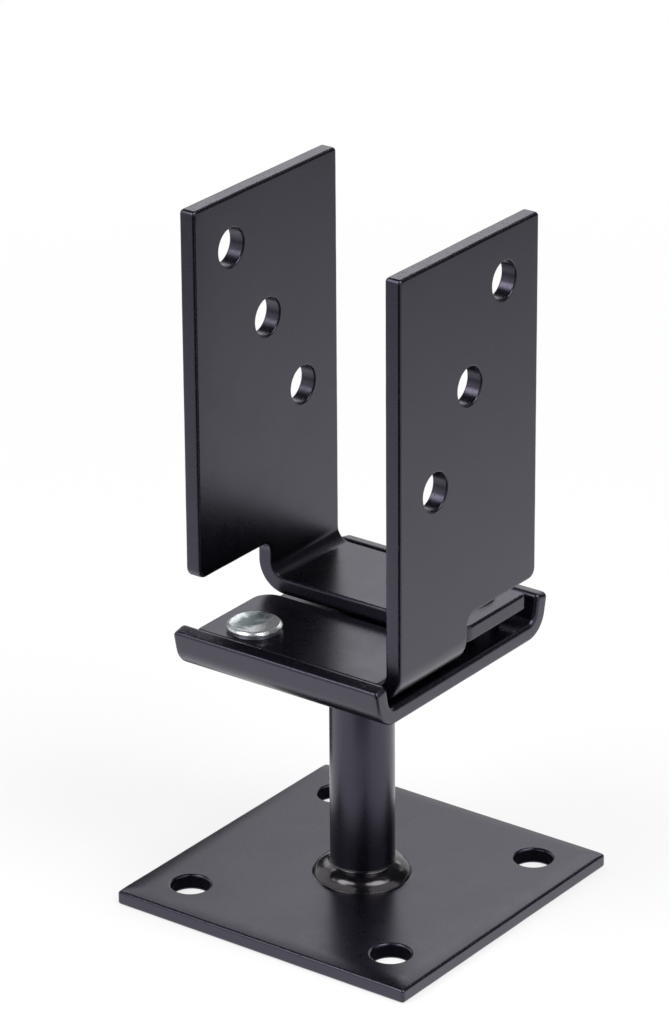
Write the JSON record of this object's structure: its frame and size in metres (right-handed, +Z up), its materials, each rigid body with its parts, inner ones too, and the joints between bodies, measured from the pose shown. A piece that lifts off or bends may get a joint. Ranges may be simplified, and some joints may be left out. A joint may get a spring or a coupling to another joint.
{
  "type": "adjustable timber post base",
  "caption": "Raised post base: square foot plate, round column and U channel carrying two sliding angle brackets that grip a timber post.",
  "frame": {"origin": "middle of the foot plate's underside, on the ground", "axes": "+X along the carrier channel, from the left bracket to the right one; +Z up, along the column; +Y across the channel"},
  "size_m": [0.1, 0.1, 0.2075],
  "materials": {
    "black_coat": "satin black powder coat",
    "coated_weld": "glossy black powder coat over a weld bead",
    "zinc_plate": "bright zinc plate"
  },
  "bodies": {
    "base": {"base_plate": "black_coat", "column": "black_coat", "base_weld": "coated_weld", "head_weld": "coated_weld", "carrier_channel": "black_coat"},
    "left_grip": {"left_bracket": "black_coat", "left_carriage_bolt": "zinc_plate", "left_spacer": "black_coat", "left_washer": "zinc_plate", "left_nut": "zinc_plate"},
    "right_grip": {"right_bracket": "black_coat", "right_carriage_bolt": "zinc_plate", "right_washer": "zinc_plate", "right_nut": "zinc_plate"}
  },
  "joints": [
    {"name": "left_bracket_slide", "type": "slide", "parent": "base", "child": "left_grip", "axis": [-1, 0, 0], "range_m": [0, 0.025]},
    {"name": "right_bracket_slide", "type": "slide", "parent": "base", "child": "right_grip", "axis": [1, 0, 0], "range_m": [0, 0.025]}
  ]
}
